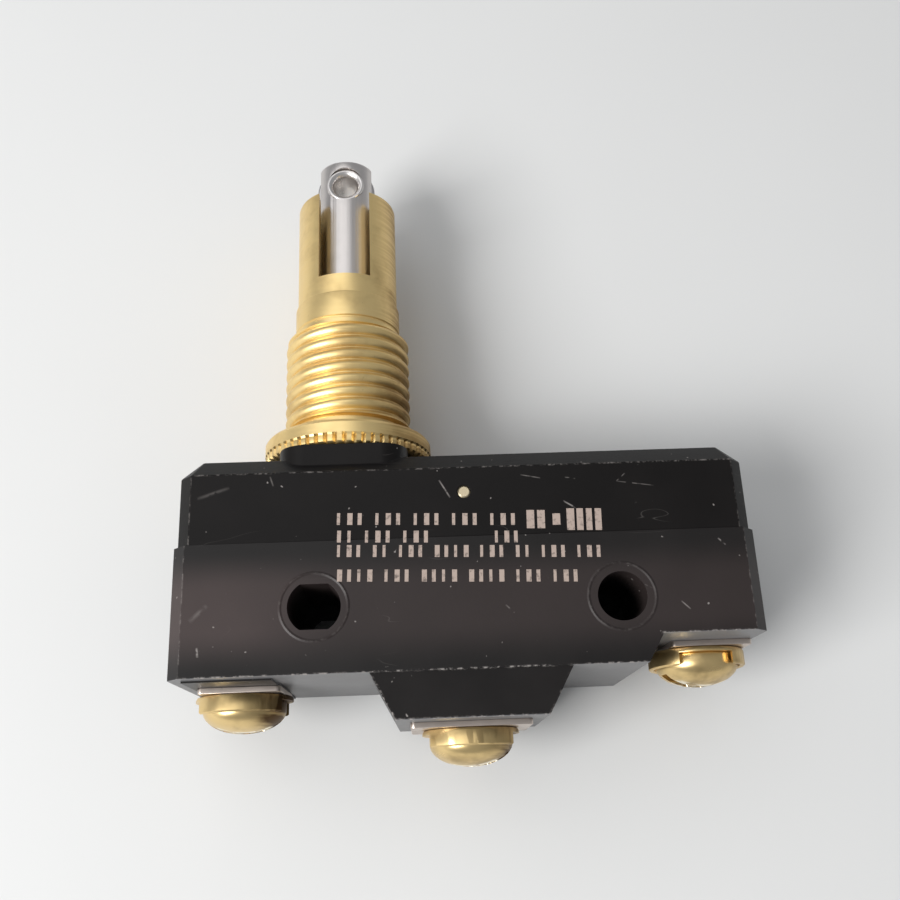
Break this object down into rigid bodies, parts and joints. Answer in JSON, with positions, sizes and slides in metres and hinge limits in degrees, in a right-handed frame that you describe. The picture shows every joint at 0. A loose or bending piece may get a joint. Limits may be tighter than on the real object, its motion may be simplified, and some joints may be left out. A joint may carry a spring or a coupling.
{
  "type": "roller plunger switch",
  "caption": "Panel-mount roller plunger limit switch: black moulded case, threaded brass bushing, steel plunger with a roller, and screw terminals with cup washers",
  "frame": {"origin": "on the rear face of the case, midway between the axes of the two mounting holes", "axes": "X along the case toward the terminal with the cut corner, Y along the plunger toward the roller, Z out of the printed front face"},
  "size_m": [0.0492, 0.0601, 0.0174],
  "materials": {
    "black_phenolic": "satin",
    "brass": "satin",
    "polished_steel": "polished",
    "spring_steel": "satin",
    "nickel_plate": "satin",
    "contact_bronze": "satin",
    "silver": "satin",
    "ivory_plastic": "satin"
  },
  "bodies": {
    "case": {"case_base": "black_phenolic", "case_cover": "black_phenolic", "cover_pin": "brass", "bushing": "brass", "bushing_washer": "spring_steel", "spring_seat": "spring_steel", "return_spring": "spring_steel", "blade_anchor": "brass", "normally_closed_contact": "silver", "normally_open_contact": "silver", "normally_closed_strap": "contact_bronze", "normally_open_strap": "contact_bronze", "common_post": "brass", "normally_open_post": "brass", "normally_closed_post": "brass", "left_plate": "nickel_plate", "left_cup_washer": "brass", "left_terminal_screw": "brass", "middle_plate": "nickel_plate", "middle_cup_washer": "brass", "middle_terminal_screw": "brass", "right_plate": "nickel_plate", "right_cup_washer": "brass", "right_terminal_screw": "brass"},
    "plunger": {"plunger": "polished_steel", "roller_pin": "polished_steel", "overtravel_spring": "spring_steel"},
    "roller": {"roller": "polished_steel"},
    "actuating_pin": {"actuating_pin": "ivory_plastic"},
    "snap_blade": {"snap_blade": "contact_bronze", "moving_contact": "silver"}
  },
  "joints": [
    {"name": "plunger_travel", "type": "slide", "parent": "case", "child": "plunger", "axis": [0, -1, 0], "range_m": [0, 0.0045], "stiffness_N_per_m": 600, "springref_m": -0.004, "deforming": ["return_spring", "overtravel_spring"]},
    {"name": "roller_spin", "type": "hinge", "parent": "plunger", "child": "roller", "pos_m": [-0.01045, 0.04445, 0.00873], "axis": [0, 0, 1], "continuous": true},
    {"name": "actuating_pin_travel", "type": "slide", "parent": "case", "child": "actuating_pin", "axis": [0, -1, 0], "range_m": [0, 0.000252]},
    {"name": "blade_tilt", "type": "hinge", "parent": "case", "child": "snap_blade", "pos_m": [-0.0206, 0.00728, 0.00873], "axis": [0, 0, -1], "range_deg": [0, 1.43]}
  ],
  "couplings": [
    {"joint": "actuating_pin_travel", "follows": "plunger_travel", "ratio": 0.056},
    {"joint": "blade_tilt", "follows": "plunger_travel", "rad_per_m": 5.538}
  ]
}
